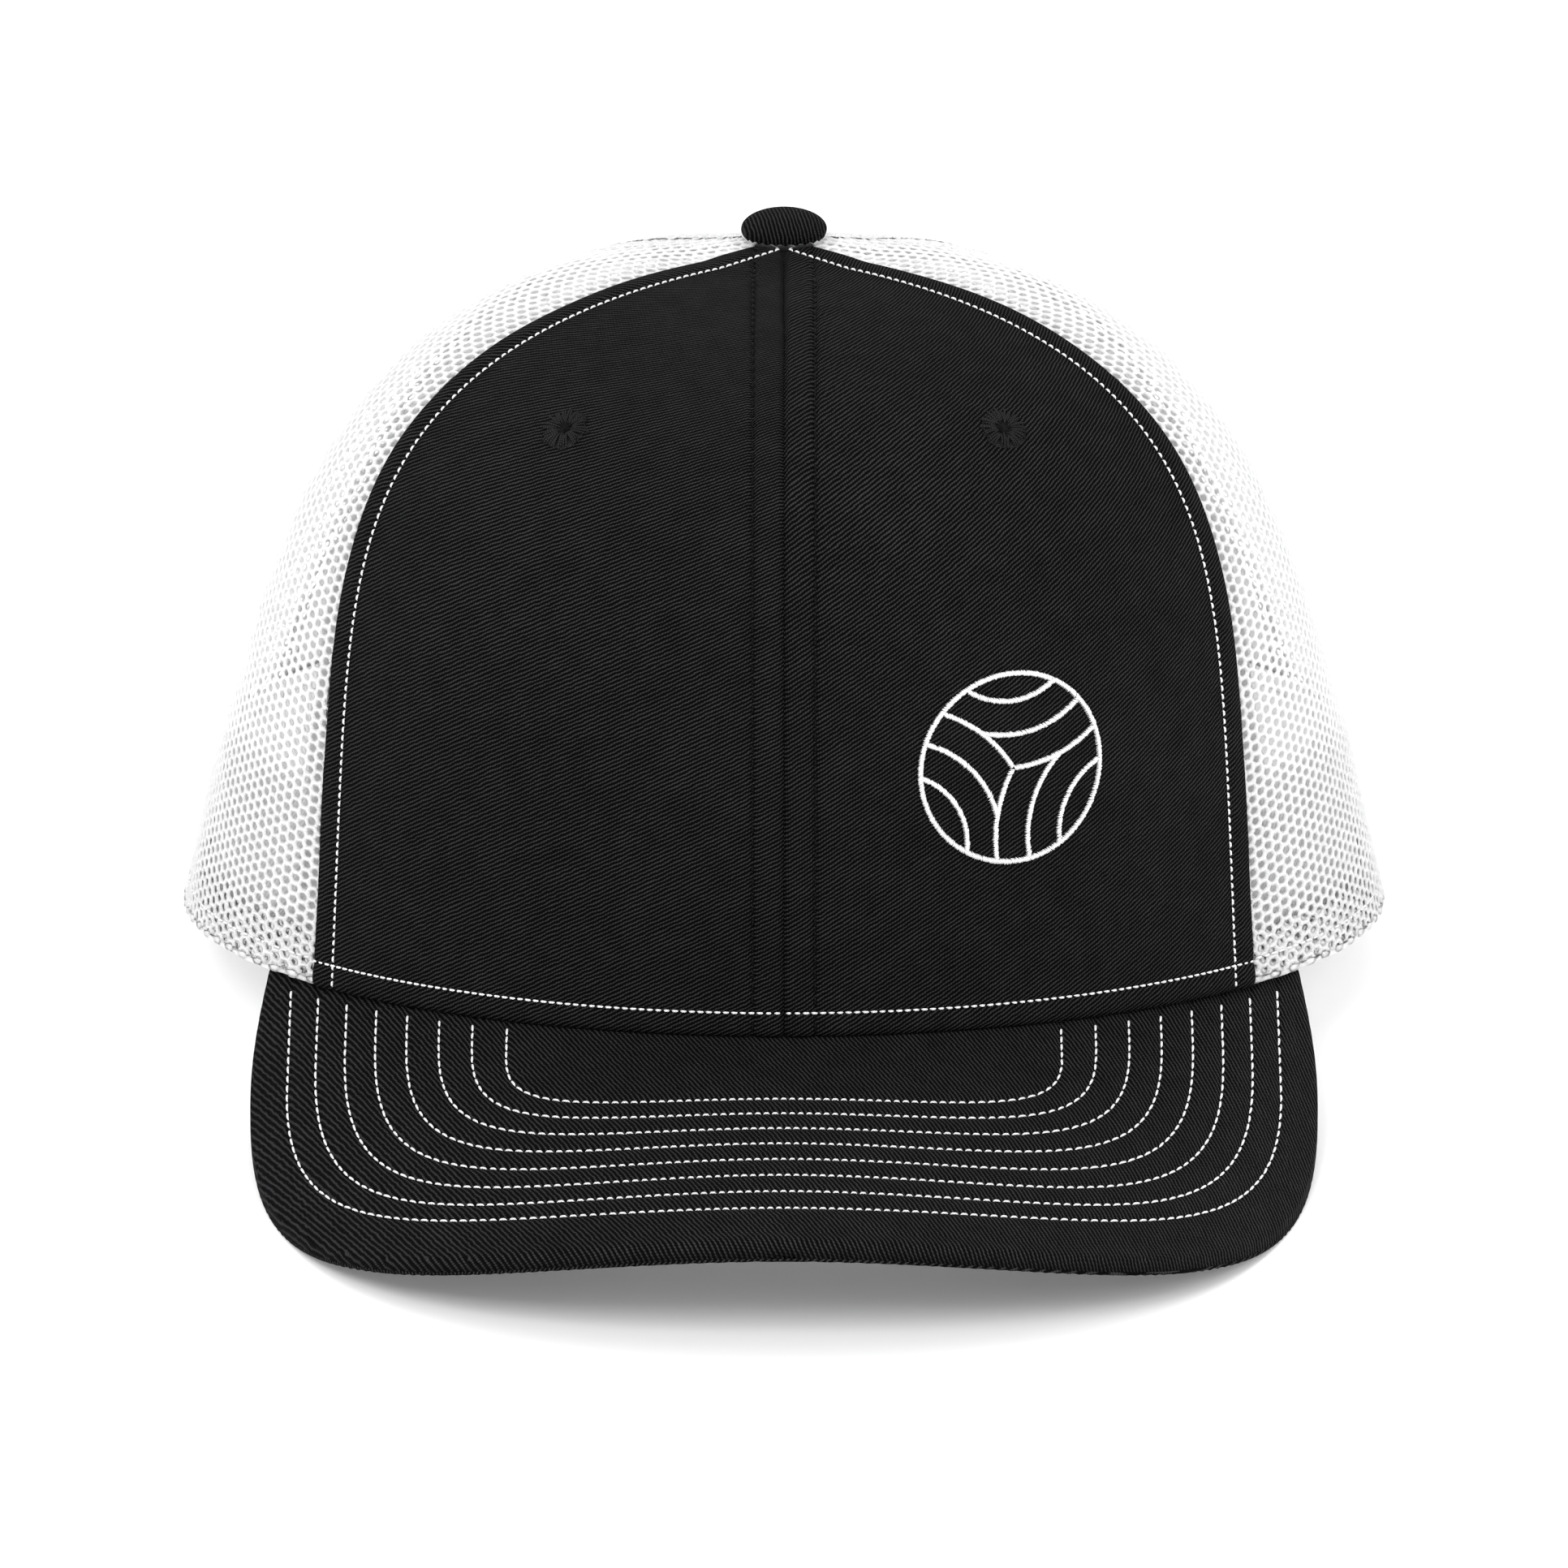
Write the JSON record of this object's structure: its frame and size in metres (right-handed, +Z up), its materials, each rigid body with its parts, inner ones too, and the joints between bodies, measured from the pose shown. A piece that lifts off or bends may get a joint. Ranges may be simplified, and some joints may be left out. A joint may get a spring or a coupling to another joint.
{
  "type": "trucker mesh cap",
  "caption": "Structured trucker cap with twill front panels, open mesh side and back panels, curved stitched visor and an adjustable snap strap across an arched rear opening.",
  "frame": {"origin": "centre of the cap's footprint on the surface it stands on, under its visor corners and the rear of its base", "axes": "+Z up, -Y the way the visor points, +X the wearer's left"},
  "size_m": [0.1994, 0.2472, 0.1306],
  "materials": {
    "black_twill": "matte woven cotton twill",
    "visor_twill": "matte woven cotton twill with white topstitching",
    "visor_lining": "matte woven cotton twill",
    "button_twill": "matte woven cotton twill",
    "buckram": "stiff plain-woven buckram",
    "white_mesh": "knitted polyester mesh, satin",
    "seam_tape": "plain-woven cotton tape",
    "sweatband_fabric": "matte woven cotton twill",
    "visor_plastic": "matte moulded polyethylene",
    "button_metal": "plain pressed steel",
    "eyelet_thread": "satin-stitched polyester thread",
    "emblem_thread": "satin-stitched polyester thread",
    "binding_fabric": "plain-woven cotton binding",
    "strap_plastic": "satin moulded polyethylene",
    "label_fabric": "woven satin label, blank"
  },
  "bodies": {
    "crown": {"front_panel_left": "black_twill", "front_panel_right": "black_twill", "buckram_left": "buckram", "buckram_right": "buckram", "side_mesh_left": "white_mesh", "side_mesh_right": "white_mesh", "back_mesh_left": "white_mesh", "back_mesh_right": "white_mesh", "front_seam_tape": "seam_tape", "front_left_seam_tape": "seam_tape", "front_right_seam_tape": "seam_tape", "back_left_seam_tape": "seam_tape", "back_right_seam_tape": "seam_tape", "back_seam_tape": "seam_tape", "sweatband": "sweatband_fabric", "visor_top_cover": "visor_twill", "visor_board": "visor_plastic", "visor_under_cover": "visor_lining", "button_cover": "button_twill", "button_shell": "button_metal", "button_backplate": "button_metal", "eyelet_left": "eyelet_thread", "eyelet_right": "eyelet_thread", "ball_emblem": "emblem_thread", "opening_binding": "binding_fabric", "hole_strap_tab": "strap_plastic", "peg_strap_tab": "strap_plastic", "care_label": "label_fabric"},
    "hole_strap": {"hole_strap": "strap_plastic"},
    "peg_strap": {"peg_strap": "strap_plastic"}
  },
  "joints": [
    {"name": "hole_strap_swing", "type": "hinge", "parent": "crown", "child": "hole_strap", "pos_m": [0.04012, 0.11439, 0.00963], "axis": [0, -0.1506, -0.9886], "range_deg": [0, 75], "stiffness_Nm_per_rad": 0.01},
    {"name": "peg_strap_swing", "type": "hinge", "parent": "crown", "child": "peg_strap", "pos_m": [-0.03956, 0.11301, 0.00984], "axis": [0, -0.1506, -0.9886], "range_deg": [0, 60], "stiffness_Nm_per_rad": 0.01}
  ]
}
